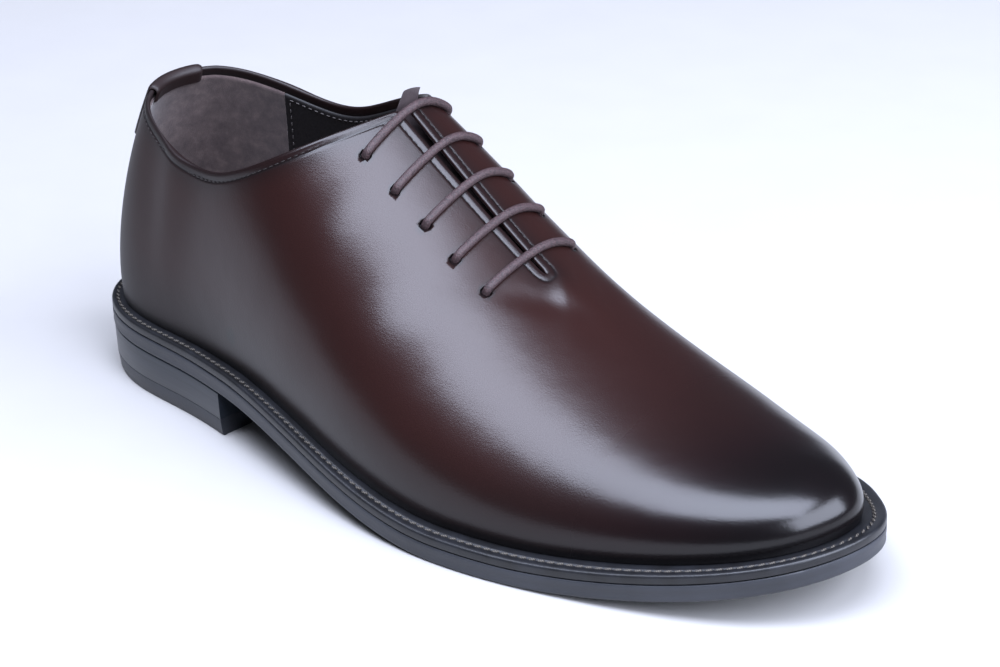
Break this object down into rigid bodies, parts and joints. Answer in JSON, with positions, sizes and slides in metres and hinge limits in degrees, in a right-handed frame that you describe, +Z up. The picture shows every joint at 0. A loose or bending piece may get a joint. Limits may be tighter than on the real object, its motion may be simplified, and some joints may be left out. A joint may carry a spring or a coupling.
{
  "type": "wholecut oxford shoe",
  "caption": "Wholecut oxford dress shoe for the right foot: hollow one-piece leather upper, closed lacing over a tongue, welted sole with arch and stacked heel",
  "frame": {"origin": "on the floor under the middle of the heel's top piece", "axes": "+X to the toe, +Y to the inner side of the foot, +Z up"},
  "size_m": [0.3032, 0.1146, 0.113],
  "materials": {
    "burnished_calf": "smooth burnished calf, glossy",
    "lining_leather": "matt lining leather",
    "sock_leather": "smooth sock leather",
    "welt_leather": "black edge-dressed leather",
    "sole_rubber": "black satin rubber",
    "heel_leather": "black polished leather stack",
    "waxed_cord": "round waxed cotton cord"
  },
  "bodies": {
    "root": {"upper": "burnished_calf", "back_tab": "burnished_calf", "tongue": "lining_leather", "insole": "sock_leather", "welt": "welt_leather", "outsole": "sole_rubber", "heel_stack": "heel_leather", "heel_top_piece": "sole_rubber", "lace": "waxed_cord"}
  },
  "joints": []
}
